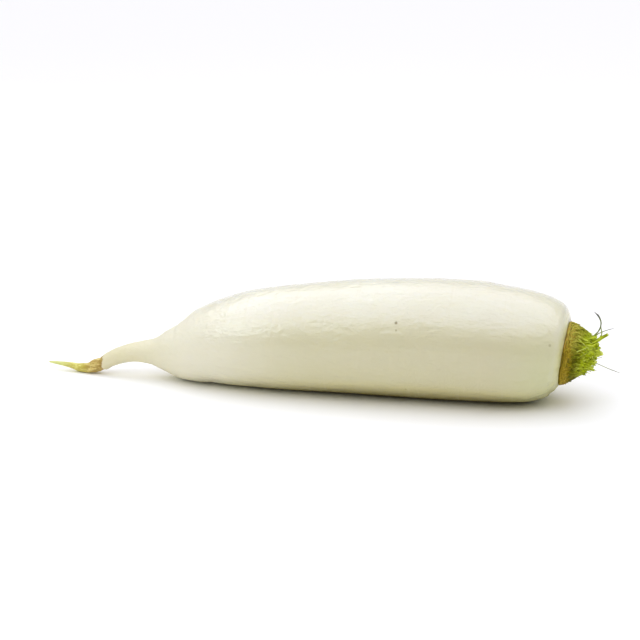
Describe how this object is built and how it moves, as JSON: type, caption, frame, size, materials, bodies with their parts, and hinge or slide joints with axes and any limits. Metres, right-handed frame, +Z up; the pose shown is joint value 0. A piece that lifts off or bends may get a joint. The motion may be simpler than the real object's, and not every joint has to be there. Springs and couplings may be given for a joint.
{
  "type": "white radish",
  "caption": "White radish lying on its belly: a smooth swollen root that narrows to a thin bent tail, with a corky collar and trimmed green leaf stalks at its crown.",
  "frame": {"origin": "on the surface the radish rests on, under the middle of its bounding box", "axes": "+X along the root towards its leaf end, +Z up, so the tail points along -X"},
  "size_m": [0.3201, 0.0653, 0.0646],
  "materials": {
    "radish_skin": "waxy white skin with faint hairline streaks, yellower and duller towards the tail",
    "radish_cork": "dry ochre-brown cork of old leaf scars, with orange-brown streaks",
    "radish_stalk": "fibrous yellow-green stalk, olive in the hollows and paler on the cut ends"
  },
  "bodies": {
    "root": {"root": "radish_skin", "crown_collar": "radish_cork", "leaf_stalks": "radish_stalk"}
  },
  "joints": []
}
